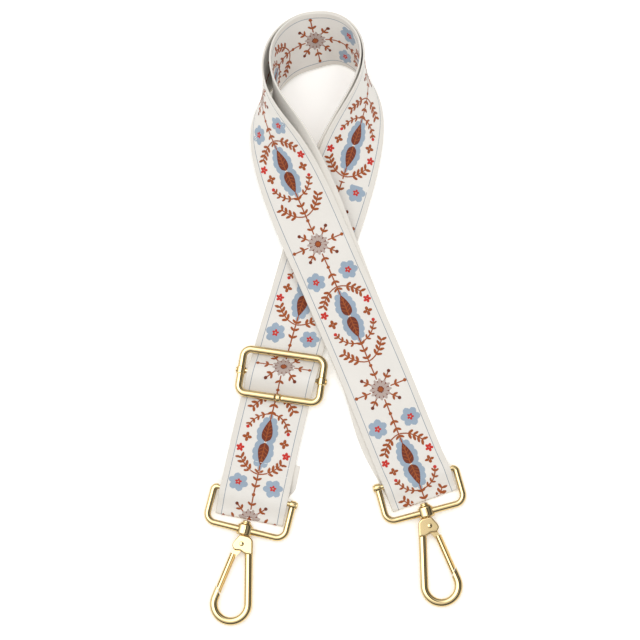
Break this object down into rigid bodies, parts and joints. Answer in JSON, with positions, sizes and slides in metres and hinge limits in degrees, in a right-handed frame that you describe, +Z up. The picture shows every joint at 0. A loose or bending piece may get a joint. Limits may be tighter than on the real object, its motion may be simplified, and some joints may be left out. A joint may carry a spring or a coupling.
{
  "type": "detachable bag strap",
  "caption": "Wide printed webbing bag strap with a bent-wire slider, folded ends on wire rings and swivel snap hooks, laid down with one limb crossed over the other.",
  "frame": {"origin": "bottom centre of the laid-down strap, on the surface it lies on", "axes": "+Z up off the surface; +Y along the strap from the hooks towards the loop; +X to the right seen from above, towards the hook on the limb that crosses over"},
  "size_m": [0.1884, 0.4486, 0.0544],
  "materials": {
    "webbing": "off-white woven webbing, printed on both faces with a rust, brown, blue-grey, red and taupe folk pattern",
    "gold_metal": "pale gold plating, polished",
    "spring_steel": "bare spring steel"
  },
  "bodies": {
    "strap": {"webbing_loop": "webbing", "webbing_run": "webbing", "webbing_hook_tab": "webbing"},
    "slider": {"slider_frame": "gold_metal", "slider_bar": "gold_metal", "webbing_sewn_end": "webbing"},
    "left_ring": {"left_ring": "gold_metal", "left_cross_bar": "gold_metal"},
    "left_hook": {"left_swivel_pin": "gold_metal", "left_swivel_washer": "gold_metal", "left_hook_body": "gold_metal", "left_gate_rivet": "gold_metal", "left_gate_spring": "spring_steel"},
    "left_gate": {"left_gate": "gold_metal"},
    "right_ring": {"right_ring": "gold_metal", "right_cross_bar": "gold_metal"},
    "right_hook": {"right_swivel_pin": "gold_metal", "right_swivel_washer": "gold_metal", "right_hook_body": "gold_metal", "right_gate_rivet": "gold_metal", "right_gate_spring": "spring_steel"},
    "right_gate": {"right_gate": "gold_metal"}
  },
  "joints": [
    {"name": "slider_slide", "type": "slide", "parent": "strap", "child": "slider", "axis": [-0.2322, -0.9727, 0], "range_m": [0, 0.05], "deforming": ["webbing_run"]},
    {"name": "left_ring_hinge", "type": "hinge", "parent": "strap", "child": "left_ring", "pos_m": [-0.05896, -0.13167, 0.00433], "axis": [-0.9704, 0.2414, 0], "range_deg": [-120, 150]},
    {"name": "left_swivel", "type": "hinge", "parent": "left_ring", "child": "left_hook", "pos_m": [-0.06519, -0.1567, 0.00433], "axis": [0.2414, 0.9704, 0], "continuous": true},
    {"name": "left_gate_hinge", "type": "hinge", "parent": "left_hook", "child": "left_gate", "pos_m": [-0.06731, -0.16689, 0.00433], "axis": [0, 0, 1], "range_deg": [0, 22], "stiffness_Nm_per_rad": 0.03, "springref_deg": -34.38},
    {"name": "right_ring_hinge", "type": "hinge", "parent": "strap", "child": "right_ring", "pos_m": [0.05875, -0.11888, 0.00433], "axis": [-0.9662, -0.2578, 0], "range_deg": [-120, 150]},
    {"name": "right_swivel", "type": "hinge", "parent": "right_ring", "child": "right_hook", "pos_m": [0.0654, -0.14381, 0.00433], "axis": [-0.2578, 0.9662, 0], "continuous": true},
    {"name": "right_gate_hinge", "type": "hinge", "parent": "right_hook", "child": "right_gate", "pos_m": [0.06769, -0.15396, 0.00433], "axis": [0, 0, -1], "range_deg": [0, 22], "stiffness_Nm_per_rad": 0.03, "springref_deg": -34.38}
  ]
}
